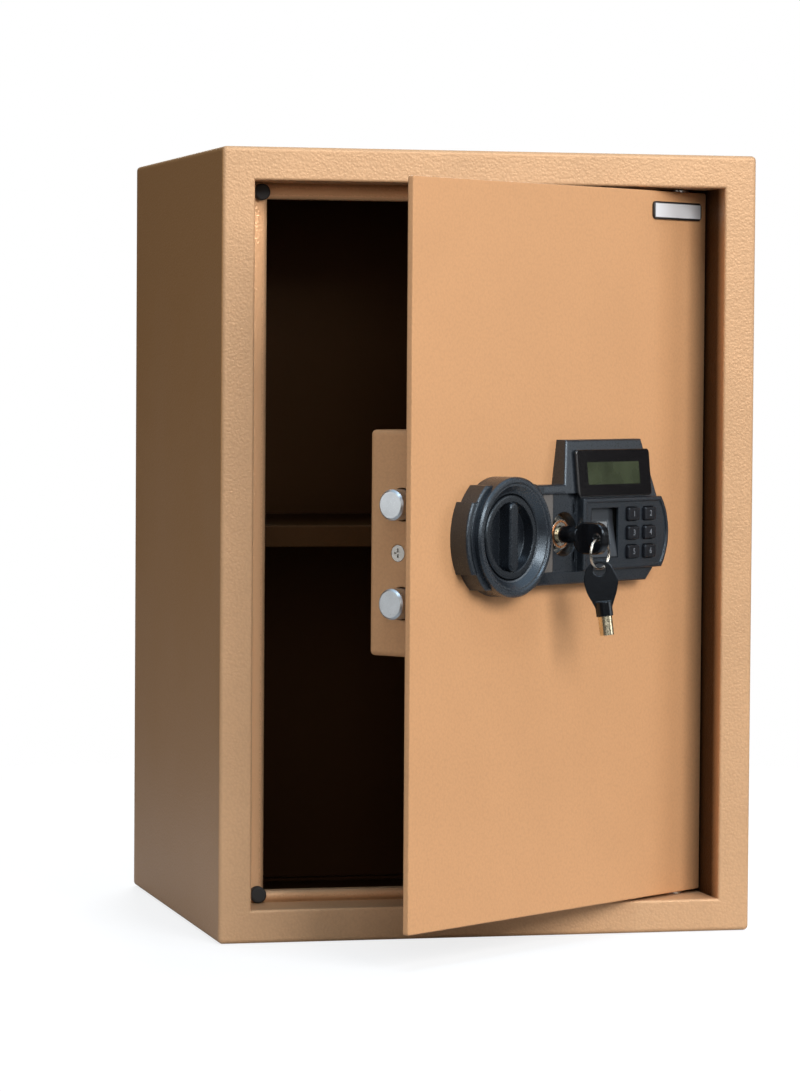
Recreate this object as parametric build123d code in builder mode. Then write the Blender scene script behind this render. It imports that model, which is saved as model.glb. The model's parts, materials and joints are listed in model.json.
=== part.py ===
from build123d import *
import os

# In-room safe: a folded steel cabinet with a shelf, and a flat steel door on concealed
# pivot pins that carries a knob, a fingerprint and keypad lock, and a key override.
#
# Row frame: origin at the centre of the cabinet's base, X to the right seen from the
# front, Y towards the back wall, Z up, in millimetres. Everything on the door is drawn
# with the door shut and is swung about the hinge axis when its piece is written.

# ---- driving dimensions: cabinet ----------------------------------------------------
WIDTH = 350.0
DEPTH = 300.0
HEIGHT = 500.0
SHEET = 2.0                       # steel of the cabinet
FRAME_WIDTH = 21.0                # front face around the door opening
FRONT_Y = -DEPTH / 2
BACK_Y = DEPTH / 2
OPEN_W = WIDTH - 2 * FRAME_WIDTH
OPEN_H = HEIGHT - 2 * FRAME_WIDTH
MID_Z = HEIGHT / 2
LIP_Y = FRONT_Y + 36.0            # front of the lip that the door shuts against
FOLD_Y = LIP_Y + 7.0              # end of the fold behind the lip
LIP_LEFT = 15.0
LIP_TOP = 10.3
LIP_BOTTOM = 7.6
HINGE_RETURN_Y = FRONT_Y + 56.0   # the frame runs deeper on the hinge side
ANCHOR_R = 5.0                    # holes for floor and wall anchors
FLOOR_ANCHOR_X = 200.0
FLOOR_ANCHOR_Y = 150.0
FLOOR_ANCHOR_MID_Y = 20.0
WALL_ANCHOR_X = 200.0
WALL_ANCHOR_Z = 350.0
BUMPER_R = 5.3
BUMPER_X = -143.0
BUMPER_STEM_R = 1.95

# ---- driving dimensions: shelf ------------------------------------------------------
SHELF_TOP = 260.0
SHELF_SHEET = 1.4
SHELF_FRONT = -67.0
SHELF_BACK = 135.0
SHELF_FOLD = 14.0
SHELF_W = 343.0

# ---- driving dimensions: door -------------------------------------------------------
DOOR_W = 304.0
DOOR_H = 454.0
DOOR_SHEET = 4.0
DOOR_FACE_Y = FRONT_Y + 26.0
DOOR_BACK_Y = DOOR_FACE_Y + DOOR_SHEET
HINGE_X = 135.0
HINGE_Y = DOOR_FACE_Y + 8.0
DOOR_REST = 37.2                  # degrees open at rest
PIN_R = 3.25
RUN = 0.05                        # radial running clearance
HINGE_AXIS = Axis((HINGE_X, HINGE_Y, 0), (0, 0, 1))
HINGE_SIDE_X = HINGE_X - 17.0     # the lip ends here on the hinge side
LIP_X = (-OPEN_W / 2 + LIP_LEFT, HINGE_SIDE_X)
LIP_Z = (FRAME_WIDTH + LIP_BOTTOM, HEIGHT - FRAME_WIDTH - LIP_TOP)
BUMPER_PLACES = ((BUMPER_X, LIP_Z[1] + 4.3), (BUMPER_X, LIP_Z[0] - 2.2))
HINGE_PLATE_SHEET = 3.0
BRACKET_W = 22.0
BRACKET_BACK_Y = -109.0
BRACKET_Z = ((437.0, 477.0), (23.0, 63.0))
PIN_Z = ((445.0, 483.6), (16.4, 55.0))
WASHER_R = 5.2
WASHER_SHEET = 1.8
NAME_PLATE_AT = (118.5, 464.6)
NAME_PLATE_SIZE = (53.0, 11.5)
GROMMET_AT = (45.0, 262.0)        # wires pass through the door here

# ---- driving dimensions: lock works -------------------------------------------------
LOCK_Z = 260.0
KNOB_X = -70.0
STROKE = 14.0                     # travel of the locking bolts
CRANK_R = STROKE / 2 ** 0.5       # a quarter turn moves the crank pin by the stroke
BOLT_R = 9.4
BOLT_Z = (220.0, 280.0)
BOLT_Y = -96.2
BOLT_END = -137.5                 # end of the drawn-back bolts
CARRIAGE_X = -97.0                # outer face of the carriage's bent flange
CARRIAGE_Y = -108.5               # front face of the carriage plate
CARRIAGE_SHEET = 3.0
BOX_X = (-126.0, 74.0)            # lock box behind the door
BOX_Z = (187.5, 325.0)
BOX_BACK_Y = -71.0
BOX_SHEET = 1.5
SOLENOID_X = -52.0
KEY_X = -11.0
KEY_Z = 260.0

# ---- driving dimensions: lock front, as heights in front of the door ----------------
WING_R = 44.3
RING_R = 36.8
RING_TOP = 17.0
KNOB_R = 25.8
BASE_TOP = 11.0
PANEL_TOP = 14.0
PANEL_INSET = 0.8
KEY_RECESS = 8.5
BUTTON_W = 12.0
BUTTON_H = 8.3
BUTTON_COLUMNS = (54.4, 72.2)
BUTTON_ROWS = (271.3, 259.4, 247.5)


def front_plane(y):
    """Plane facing the front at depth y: local x is X, local y is Z, out is -Y."""
    return Plane.XZ.offset(-y)


def side_plane(x):
    """Plane facing +X: local x is Y, local y is Z."""
    return Plane.YZ.offset(x)


def proud(height):
    """Depth of a point that stands this far in front of the door's face."""
    return DOOR_FACE_Y - height


def behind(depth):
    """Depth of a point this far behind the back of the door."""
    return DOOR_BACK_Y + depth


def save(piece, name, on_door=True):
    """Label a finished piece and write it; the door's pieces are swung to rest."""
    if on_door:
        piece.part = piece.part.rotate(HINGE_AXIS, DOOR_REST)
    piece.part.label = name
    export_step(piece.part, f"parts/{name}.step")


def corners(x, z):
    """Rectangle centre and size from two pairs of limits."""
    return ((x[0] + x[1]) / 2, (z[0] + z[1]) / 2), (x[1] - x[0], z[1] - z[0])


def block(x, y, z):
    """Box between the given limits, added to the part under construction."""
    centre, size = corners(x, z)
    with BuildSketch(front_plane(y[1])) as profile:
        with Locations(centre):
            Rectangle(*size)
    extrude(profile.sketch, amount=y[1] - y[0])


os.makedirs("parts", exist_ok=True)

# ====================================================================================
# Cabinet
# ====================================================================================

with BuildPart() as cabinet_shell:
    with BuildSketch(front_plane(FRONT_Y)):
        with Locations((0, MID_Z)):
            RectangleRounded(WIDTH, HEIGHT, 3.0)
    extrude(amount=-DEPTH)
    front_edges = cabinet_shell.faces().sort_by(Axis.Y)[0].edges()
    fillet(front_edges, 2.5)
    # hollow, open at the back, and the door opening
    with BuildSketch(front_plane(FRONT_Y + SHEET)):
        with Locations((0, MID_Z)):
            Rectangle(WIDTH - 2 * SHEET, HEIGHT - 2 * SHEET)
    extrude(amount=-DEPTH, mode=Mode.SUBTRACT)
    # frame turned back around the opening
    with BuildSketch(front_plane(FRONT_Y + SHEET)):
        with Locations((0, MID_Z)):
            Rectangle(OPEN_W + 2 * SHEET, OPEN_H + 2 * SHEET)
    extrude(amount=-(LIP_Y - FRONT_Y))
    with BuildSketch(front_plane(FRONT_Y)):
        with Locations((0, MID_Z)):
            Rectangle(OPEN_W, OPEN_H)
    extrude(amount=-(LIP_Y - FRONT_Y), mode=Mode.SUBTRACT)
    # the lip's opening, which leaves no lip on the hinge side
    lip_centre, lip_size = corners(LIP_X, LIP_Z)
    with BuildSketch(front_plane(LIP_Y)):
        with Locations(lip_centre):
            Rectangle(*lip_size)
        with Locations(((HINGE_SIDE_X + OPEN_W / 2) / 2, MID_Z)):
            Rectangle(OPEN_W / 2 - HINGE_SIDE_X, OPEN_H)
    extrude(amount=-SHEET, mode=Mode.SUBTRACT)
    # fold behind the lip
    with BuildSketch(front_plane(LIP_Y + SHEET)):
        with Locations((lip_centre[0] - SHEET / 2, lip_centre[1])):
            Rectangle(lip_size[0] + SHEET, lip_size[1] + 2 * SHEET)
        with Locations(lip_centre):
            Rectangle(*lip_size, mode=Mode.SUBTRACT)
    extrude(amount=-(FOLD_Y - LIP_Y - SHEET))
    # deeper return on the hinge side, closed against the side wall
    half_open = OPEN_W / 2
    deep = (LIP_Y + SHEET, HINGE_RETURN_Y)
    block((half_open, half_open + SHEET), deep, (FRAME_WIDTH - SHEET, HEIGHT - FRAME_WIDTH + SHEET))
    block((half_open, WIDTH / 2 - SHEET), (HINGE_RETURN_Y - SHEET, HINGE_RETURN_Y),
          (FRAME_WIDTH - SHEET, HEIGHT - FRAME_WIDTH + SHEET))
    for low in (FRAME_WIDTH - SHEET, HEIGHT - FRAME_WIDTH):
        block((HINGE_SIDE_X, half_open + SHEET), deep, (low, low + SHEET))
    # clearance holes for the hinge pins
    with BuildSketch(Plane.XY):
        with Locations((HINGE_X, HINGE_Y)):
            Circle(PIN_R + 1.5)
    extrude(amount=FRAME_WIDTH + 1, mode=Mode.SUBTRACT)
    with BuildSketch(Plane.XY.offset(HEIGHT - FRAME_WIDTH - 1)):
        with Locations((HINGE_X, HINGE_Y)):
            Circle(PIN_R + 1.5)
    extrude(amount=FRAME_WIDTH - SHEET, mode=Mode.SUBTRACT)
    with BuildSketch(Plane.XY):
        with Locations((HINGE_X, HINGE_Y)):
            Circle(PIN_R + 3.0)
    extrude(amount=SHEET)
    # floor anchor holes
    with BuildSketch(Plane.XY):
        with Locations((0, FLOOR_ANCHOR_MID_Y)):
            with GridLocations(FLOOR_ANCHOR_X, FLOOR_ANCHOR_Y, 2, 2):
                Circle(ANCHOR_R)
    extrude(amount=SHEET, mode=Mode.SUBTRACT)
    # holes for the bumper stems
    with BuildSketch(front_plane(LIP_Y)):
        with Locations(*BUMPER_PLACES):
            Circle(BUMPER_STEM_R + RUN)
    extrude(amount=-SHEET, mode=Mode.SUBTRACT)
    # rolled inner edge of the frame
    inner_edges = (
        cabinet_shell.edges()
        .filter_by_position(Axis.Y, FRONT_Y - 0.1, FRONT_Y + 0.1)
        .filter_by(lambda edge: abs(edge.center().X) < OPEN_W / 2 + 1)
        .filter_by(lambda edge: abs(edge.center().Z - MID_Z) < OPEN_H / 2 + 1)
    )
    fillet(inner_edges, 1.6)
save(cabinet_shell, "cabinet_shell", on_door=False)

with BuildPart() as back_panel:
    centre, size = corners((-WIDTH / 2 + SHEET, WIDTH / 2 - SHEET), (SHEET, HEIGHT - SHEET))
    with BuildSketch(front_plane(BACK_Y)):
        with Locations(centre):
            Rectangle(*size)
        with Locations((0, WALL_ANCHOR_Z)):
            with GridLocations(WALL_ANCHOR_X, 1, 2, 1):
                Circle(ANCHOR_R, mode=Mode.SUBTRACT)
    extrude(amount=SHEET)
    # welding flange turned forwards along all four edges
    with BuildSketch(front_plane(BACK_Y - SHEET)):
        with Locations(centre):
            Rectangle(*size)
            Rectangle(size[0] - 2 * SHEET, size[1] - 2 * SHEET, mode=Mode.SUBTRACT)
    extrude(amount=12.0)
save(back_panel, "back_panel", on_door=False)


def hinge_plate(low):
    """Steel bearing plate welded behind the frame, with the hole for a pivot pin."""
    with BuildSketch(Plane.XY.offset(low)) as profile:
        with Locations((HINGE_X + 1, HINGE_Y - 6)):
            RectangleRounded(40, 48, 4)
        with Locations((HINGE_X, HINGE_Y)):
            Circle(PIN_R + RUN, mode=Mode.SUBTRACT)
    extrude(profile.sketch, amount=HINGE_PLATE_SHEET)


with BuildPart() as hinge_plates:
    hinge_plate(HEIGHT - FRAME_WIDTH + SHEET)
    hinge_plate(FRAME_WIDTH - SHEET - HINGE_PLATE_SHEET)
save(hinge_plates, "hinge_plates", on_door=False)

with BuildPart() as rubber_bumpers:
    with BuildSketch(front_plane(LIP_Y)):
        with Locations(*BUMPER_PLACES):
            Circle(BUMPER_R)
    extrude(amount=5.5)
    fillet(rubber_bumpers.faces().group_by(Axis.Y)[0].edges(), 1.4)
    with BuildSketch(front_plane(LIP_Y)):
        with Locations(*BUMPER_PLACES):
            Circle(BUMPER_STEM_R)
    extrude(amount=-SHEET)
save(rubber_bumpers, "rubber_bumpers", on_door=False)


def shelf_support(side):
    """Angle welded to a side wall; its flat leg carries the shelf."""
    wall = side * (WIDTH / 2 - SHEET)
    low_x, high_x = sorted((wall, wall - side * 14.0))
    leg = SHELF_TOP - SHELF_SHEET
    block((low_x, high_x), (SHELF_FRONT + 8, SHELF_BACK - 8), (leg - 1.5, leg))
    low_x, high_x = sorted((wall, wall - side * 1.5))
    block((low_x, high_x), (SHELF_FRONT + 8, SHELF_BACK - 8), (leg - 16, leg - 1.5))


with BuildPart() as shelf_supports:
    shelf_support(-1)
    shelf_support(1)
save(shelf_supports, "shelf_supports", on_door=False)

with BuildPart() as shelf:
    block((-SHELF_W / 2, SHELF_W / 2), (SHELF_FRONT, SHELF_BACK), (SHELF_TOP - SHELF_SHEET, SHELF_TOP))
    fold_z = (SHELF_TOP - SHELF_FOLD, SHELF_TOP)
    block((-SHELF_W / 2, SHELF_W / 2), (SHELF_FRONT, SHELF_FRONT + SHELF_SHEET), fold_z)
    block((-SHELF_W / 2, SHELF_W / 2), (SHELF_FRONT, SHELF_FRONT + 7.0),
          (SHELF_TOP - SHELF_FOLD, SHELF_TOP - SHELF_FOLD + SHELF_SHEET))
    block((-SHELF_W / 2, SHELF_W / 2), (SHELF_BACK - SHELF_SHEET, SHELF_BACK), fold_z)
    top_front = shelf.edges().filter_by(Axis.X).group_by(Axis.Y)[0].sort_by(Axis.Z)[-1]
    fillet(top_front, 1.2)
save(shelf, "shelf", on_door=False)

# ====================================================================================
# Door
# ====================================================================================

with BuildPart() as door_plate:
    with BuildSketch(front_plane(DOOR_BACK_Y)):
        with Locations((0, MID_Z)):
            RectangleRounded(DOOR_W, DOOR_H, 1.5)
        with Locations((KNOB_X, LOCK_Z)):
            Circle(7.0, mode=Mode.SUBTRACT)
        with Locations((KEY_X, KEY_Z)):
            Circle(9.5, mode=Mode.SUBTRACT)
        with Locations(GROMMET_AT):
            Circle(6.0, mode=Mode.SUBTRACT)
    extrude(amount=DOOR_SHEET)
    fillet(door_plate.faces().sort_by(Axis.Y)[0].outer_wire().edges(), 0.7)
save(door_plate, "door_plate")


def hinge_bracket(z):
    """Steel block welded behind the door, bored for the pivot pin."""
    with BuildSketch(Plane.XY.offset(z[0])) as profile:
        with Locations((HINGE_X, (DOOR_BACK_Y + BRACKET_BACK_Y) / 2)):
            Rectangle(BRACKET_W, BRACKET_BACK_Y - DOOR_BACK_Y)
        with Locations((HINGE_X, HINGE_Y)):
            Circle(PIN_R + 0.03, mode=Mode.SUBTRACT)
    extrude(profile.sketch, amount=z[1] - z[0])


def hinge_pin(z):
    """Bright steel pivot pin with chamfered ends."""
    with BuildSketch(Plane.XY.offset(z[0])) as profile:
        with Locations((HINGE_X, HINGE_Y)):
            Circle(PIN_R)
    extrude(profile.sketch, amount=z[1] - z[0])


with BuildPart() as hinge_brackets:
    for limits in BRACKET_Z:
        hinge_bracket(limits)
    chamfer(hinge_brackets.edges().filter_by(Axis.Z).group_by(Axis.Y)[-1], 2.5)
save(hinge_brackets, "hinge_brackets")

with BuildPart() as hinge_pins:
    for limits in PIN_Z:
        hinge_pin(limits)
    chamfer(hinge_pins.edges().group_by(Axis.Z)[-1], 0.6)
    chamfer(hinge_pins.edges().group_by(Axis.Z)[0], 0.6)
save(hinge_pins, "hinge_pins")

with BuildPart() as hinge_washers:
    # one under the door, one between its top and the frame
    for low in (FRAME_WIDTH + 0.1, HEIGHT - FRAME_WIDTH - 0.1 - WASHER_SHEET):
        with BuildSketch(Plane.XY.offset(low)):
            with Locations((HINGE_X, HINGE_Y)):
                Circle(WASHER_R)
                Circle(PIN_R + RUN, mode=Mode.SUBTRACT)
        extrude(amount=WASHER_SHEET)
save(hinge_washers, "hinge_washers")

with BuildPart() as name_plate:
    with BuildSketch(front_plane(DOOR_FACE_Y)):
        with Locations(NAME_PLATE_AT):
            RectangleRounded(*NAME_PLATE_SIZE, 3.0)
    extrude(amount=1.6)
    fillet(name_plate.faces().sort_by(Axis.Y)[0].edges(), 0.5)
save(name_plate, "name_plate")

# ====================================================================================
# Lock front
# ====================================================================================


def keypad_outline():
    """Keypad block: straight left side, right side bulged outwards."""
    with BuildLine() as outline:
        Polyline((86.0, 282.0), (2.4, 282.0), (2.4, 237.0), (86.5, 237.0))
        ThreePointArc((86.5, 237.0), (94.0, 261.0), (86.0, 282.0))
    make_face(outline.edges())


def display_outline():
    """Display housing: wider at its foot than at its top."""
    with BuildLine() as outline:
        Polyline((-8.2, 318.6), (-13.0, 290.0), (-13.0, 285.3), (2.4, 285.3), (2.4, 281.0),
                 (85.0, 281.0), (71.5, 318.6), close=True)
    make_face(outline.edges())


# the display leans back: its face is a plane through these two heights
DISPLAY_TOP = (318.6, 7.7)
DISPLAY_FOOT = (282.0, 11.5)
DISPLAY_LEAN = Plane(
    origin=(35, proud(DISPLAY_FOOT[1]), DISPLAY_FOOT[0]),
    x_dir=(1, 0, 0),
    z_dir=(0, DISPLAY_FOOT[0] - DISPLAY_TOP[0], DISPLAY_FOOT[1] - DISPLAY_TOP[1]),
)

with BuildPart() as lock_housing:
    # stepped wing around the knob, in two widths
    for radius, half_height in ((WING_R, 22.0), (40.5, 32.0)):
        with BuildSketch(front_plane(DOOR_FACE_Y)):
            with Locations((KNOB_X, LOCK_Z)):
                Circle(radius)
                Rectangle(2 * radius, 2 * half_height, mode=Mode.INTERSECT)
        extrude(amount=13.0)
    fillet(lock_housing.faces().sort_by(Axis.Y)[0].outer_wire().edges(), 1.2)
    # strip that joins the knob to the keypad, its lower right corner cut off
    with BuildSketch(front_plane(DOOR_FACE_Y)):
        with BuildLine():
            Polyline((KNOB_X, 291.0), (KNOB_X, 229.0), (73.8, 229.0), (84.0, 239.0), (84.0, 282.0),
                     (0.0, 291.0), close=True)
        make_face()
    extrude(amount=BASE_TOP)
    strip_rim = (
        lock_housing.edges()
        .filter_by_position(Axis.Y, proud(BASE_TOP) - 0.1, proud(BASE_TOP) + 0.1)
        .filter_by(lambda edge: abs(edge.center().Z - LOCK_Z) > 21 and edge.center().X > 0)
    )
    chamfer(strip_rim, 0.8)
    # display housing, leaning back
    with BuildSketch(front_plane(DOOR_FACE_Y)):
        display_outline()
    extrude(amount=12.5)
    with BuildSketch(DISPLAY_LEAN):
        with Locations((0, 20)):
            Rectangle(140, 60)
    extrude(amount=12.0, mode=Mode.SUBTRACT)
    display_rim = (
        lock_housing.edges()
        .filter_by(lambda edge: edge.center().Z > 290.5 and edge.center().Y < proud(7.0))
    )
    fillet(display_rim, 1.4)
    # keypad block with a shallow inset panel
    with BuildSketch(front_plane(DOOR_FACE_Y)):
        keypad_outline()
    extrude(amount=PANEL_TOP)
    fillet(lock_housing.faces().sort_by(Axis.Y)[0].outer_wire().edges(), 1.0)
    with BuildSketch(front_plane(proud(PANEL_TOP - PANEL_INSET))):
        keypad_outline()
        offset(amount=-2.6, kind=Kind.INTERSECTION)
        with Locations((5.0, 259.5)):
            Rectangle(2.0, 50.0, mode=Mode.SUBTRACT)
    extrude(amount=PANEL_INSET, mode=Mode.SUBTRACT)
    # recess around the key lock
    recess_centre, recess_size = corners((-40.0, 2.4), (236.5, 285.3))
    with BuildSketch(front_plane(proud(KEY_RECESS))):
        with Locations(recess_centre):
            Rectangle(*recess_size)
    extrude(amount=12.0, mode=Mode.SUBTRACT)
    with BuildSketch(front_plane(proud(KEY_RECESS))):
        with Locations((-29.0, recess_centre[1])):
            Rectangle(10.0, recess_size[1])
    extrude(amount=1.2)
    # two slots that hold the missing cover of the key lock
    with BuildSketch(front_plane(proud(KEY_RECESS))):
        with Locations((-0.6, 275.5), (-0.6, 246.0)):
            SlotOverall(6.0, 1.8, rotation=90)
    extrude(amount=-2.0, mode=Mode.SUBTRACT)
    # seat of the knob's surround and the floor under it
    with BuildSketch(front_plane(proud(3.0))):
        with Locations((KNOB_X, LOCK_Z)):
            Circle(RING_R + 0.05)
    extrude(amount=20.0, mode=Mode.SUBTRACT)
    with BuildSketch(front_plane(DOOR_FACE_Y)):
        with Locations((KNOB_X, LOCK_Z)):
            Circle(RING_R)
    extrude(amount=3.0)
    # groove along the wing's front
    with BuildSketch(front_plane(proud(12.2))):
        with Locations((KNOB_X, LOCK_Z)):
            Circle(41.0)
            Circle(39.8, mode=Mode.SUBTRACT)
            with Locations((-30, 0)):
                Rectangle(60, 43.9, mode=Mode.INTERSECT)
    extrude(amount=1.0, mode=Mode.SUBTRACT)
    # holes: knob hub, key lock, finger recess, buttons, display
    with BuildSketch(front_plane(DOOR_FACE_Y)):
        with Locations((KNOB_X, LOCK_Z)):
            Circle(7.4)
        with Locations((KEY_X, KEY_Z)):
            Circle(13.8)
    extrude(amount=20.0, mode=Mode.SUBTRACT)
    with BuildSketch(front_plane(DOOR_FACE_Y)):
        with Locations((26.0, 260.0)):
            Rectangle(28.4, 31.4)
        for x in BUTTON_COLUMNS:
            with Locations(*((x, z) for z in BUTTON_ROWS)):
                RectangleRounded(BUTTON_W + 0.5, BUTTON_H + 0.5, 1.4)
        with Locations((36.0, 297.5)):
            Rectangle(58.0, 17.0)
    extrude(amount=20.0, mode=Mode.SUBTRACT)
    # hollows behind the keypad and behind the display
    hollow_centre, hollow_size = corners((6.0, 83.0), (240.0, 279.0))
    with BuildSketch(front_plane(DOOR_FACE_Y)):
        with Locations(hollow_centre):
            Rectangle(*hollow_size)
    extrude(amount=11.6, mode=Mode.SUBTRACT)
    hollow_centre, hollow_size = corners((-6.0, 72.0), (283.5, 314.5))
    with BuildSketch(front_plane(DOOR_FACE_Y)):
        with Locations(hollow_centre):
            Rectangle(*hollow_size)
    extrude(amount=5.8, mode=Mode.SUBTRACT)
save(lock_housing, "lock_housing")

with BuildPart() as knob_surround:
    # ring with a flat rim, a small step and a bowl that slopes in towards the knob
    with BuildSketch(Plane(origin=(KNOB_X, DOOR_FACE_Y, LOCK_Z), x_dir=(1, 0, 0), z_dir=(0, 0, 1))):
        with BuildLine():
            Polyline(
                (KNOB_R + 0.8, -3.0), (RING_R, -3.0), (RING_R, -RING_TOP + 1.2),
                (RING_R - 1.2, -RING_TOP), (RING_R - 3.4, -RING_TOP), (RING_R - 4.0, -RING_TOP + 0.9),
                (RING_R - 5.4, -RING_TOP + 0.9), (KNOB_R + 2.0, -RING_TOP + 4.6),
                (KNOB_R + 0.8, -RING_TOP + 4.9), close=True,
            )
        make_face()
    revolve(axis=Axis((KNOB_X, DOOR_FACE_Y, LOCK_Z), (0, 1, 0)))
save(knob_surround, "knob_surround")

with BuildPart() as display_window:
    with BuildSketch(DISPLAY_LEAN):
        with Locations((1.8, 15.6)):
            RectangleRounded(78.0, 29.6, 2.5)
    extrude(amount=2.4)
    fillet(display_window.faces().sort_by(Axis.Y)[0].edges(), 0.8)
save(display_window, "display_window")

with BuildPart() as lcd_module:
    block((6.5, 65.5), (proud(5.4), proud(2.0)), (286.0, 309.0))
    block((8.5, 63.5), (proud(7.2), proud(5.4)), (290.5, 304.5))
save(lcd_module, "lcd_module")

with BuildPart() as fingerprint_cradle:
    # ramp that guides the fingertip, deeper at its upper end
    with BuildSketch(side_plane(12.0)):
        with BuildLine():
            Polyline(
                (proud(5.0), 244.6), (proud(12.6), 244.6), (proud(12.2), 248.5), (proud(8.6), 268.0),
                (proud(8.6), 275.4), (proud(5.0), 275.4), close=True,
            )
        make_face()
    extrude(amount=28.0)
    # sunken seat of the sensor
    with BuildSketch(side_plane(18.0)):
        with BuildLine():
            Polyline(
                (proud(7.4), 252.0), (proud(13.0), 252.0), (proud(13.0), 267.0), (proud(7.4), 267.0),
                close=True,
            )
        make_face()
    extrude(amount=16.0, mode=Mode.SUBTRACT)
save(fingerprint_cradle, "fingerprint_cradle")

with BuildPart() as fingerprint_sensor:
    block((18.1, 33.9), (proud(8.9), proud(7.4)), (252.1, 266.9))
    fillet(fingerprint_sensor.edges().filter_by(Axis.Y), 1.0)
save(fingerprint_sensor, "fingerprint_sensor")

with BuildPart() as keypad_board:
    block((7.0, 82.0), (proud(4.2), proud(2.6)), (241.0, 278.0))
save(keypad_board, "keypad_board")

with BuildPart() as keypad_mat:
    block((45.0, 81.5), (proud(6.2), proud(4.2)), (241.5, 277.5))
    with BuildSketch(front_plane(proud(6.2))):
        for x in BUTTON_COLUMNS:
            with Locations(*((x, z) for z in BUTTON_ROWS)):
                Circle(3.6)
    extrude(amount=2.3, taper=25)
save(keypad_mat, "keypad_mat")


def button(x, z):
    """Key cap with rounded corners, held behind the panel by a rim."""
    with BuildSketch(front_plane(proud(9.6))) as cap:
        with Locations((x, z)):
            RectangleRounded(BUTTON_W, BUTTON_H, 1.2)
    extrude(cap.sketch, amount=5.8, taper=1.5)
    with BuildSketch(front_plane(proud(9.8))) as rim:
        with Locations((x, z)):
            RectangleRounded(BUTTON_W + 2.0, BUTTON_H + 1.6, 1.2)
    extrude(rim.sketch, amount=1.2)


for number in range(6):
    with BuildPart() as key_button:
        button(BUTTON_COLUMNS[number % 2], BUTTON_ROWS[number // 2])
        fillet(key_button.faces().sort_by(Axis.Y)[0].edges(), 0.7)
    save(key_button, f"key_button_{number + 1}")

# ====================================================================================
# Knob and bolt works
# ====================================================================================

with BuildPart() as knob:
    with BuildSketch(front_plane(proud(3.6))):
        with Locations((KNOB_X, LOCK_Z)):
            Circle(KNOB_R)
    extrude(amount=9.4)
    fillet(knob.faces().sort_by(Axis.Y)[0].edges(), 1.2)
    # dished front with a grip bar across it
    with BuildSketch(front_plane(proud(13.0))):
        with Locations((KNOB_X, LOCK_Z)):
            Circle(21.5)
    extrude(amount=-6.2, taper=12, mode=Mode.SUBTRACT)
    with BuildSketch(front_plane(proud(6.0))):
        with Locations((KNOB_X, LOCK_Z)):
            SlotOverall(43.5, 9.6, rotation=90)
            Circle(21.9, mode=Mode.INTERSECT)
    extrude(amount=9.2, taper=3)
    fillet(knob.faces().sort_by(Axis.Y)[0].edges(), 1.5)
    # hub towards the door, bored for the spindle
    with BuildSketch(front_plane(proud(3.6))):
        with Locations((KNOB_X, LOCK_Z)):
            Circle(7.2)
    extrude(amount=-3.3)
    with BuildSketch(front_plane(proud(0.3))):
        with Locations((KNOB_X, LOCK_Z)):
            Circle(4.02)
    extrude(amount=4.6, mode=Mode.SUBTRACT)
save(knob, "knob")

with BuildPart() as spindle:
    with BuildSketch(front_plane(proud(4.8))):
        with Locations((KNOB_X, LOCK_Z)):
            Circle(4.0)
    extrude(amount=-(behind(4.0) - proud(4.8)))
save(spindle, "spindle")

with BuildPart() as spindle_bush:
    with BuildSketch(front_plane(DOOR_FACE_Y)):
        with Locations((KNOB_X, LOCK_Z)):
            Circle(6.95)
            Circle(4.0 + RUN, mode=Mode.SUBTRACT)
    extrude(amount=-DOOR_SHEET - 2.5)
    with BuildSketch(front_plane(behind(0.05))):
        with Locations((KNOB_X, LOCK_Z)):
            Circle(9.5)
            Circle(6.9, mode=Mode.SUBTRACT)
    extrude(amount=-2.4)
save(spindle_bush, "spindle_bush")

CRANK_AT = (KNOB_X + CRANK_R / 2 ** 0.5, LOCK_Z + CRANK_R / 2 ** 0.5)

with BuildPart() as drive_cam:
    with BuildSketch(front_plane(behind(4.0))):
        with Locations((KNOB_X, LOCK_Z)):
            Circle(9.0)
        with Locations(CRANK_AT):
            Circle(6.0)
        make_hull()
    extrude(amount=-5.5)
    with BuildSketch(front_plane(behind(9.5))):
        with Locations(CRANK_AT):
            Circle(3.0)
    extrude(amount=-(CARRIAGE_Y + CARRIAGE_SHEET + 1.5 - behind(9.5)))
save(drive_cam, "drive_cam")

GUIDES = ((-84.0, 279.0), (-45.0, 279.0), (-84.0, 234.0), (-45.0, 234.0))
CARRIAGE_TOP = 294.0

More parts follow.
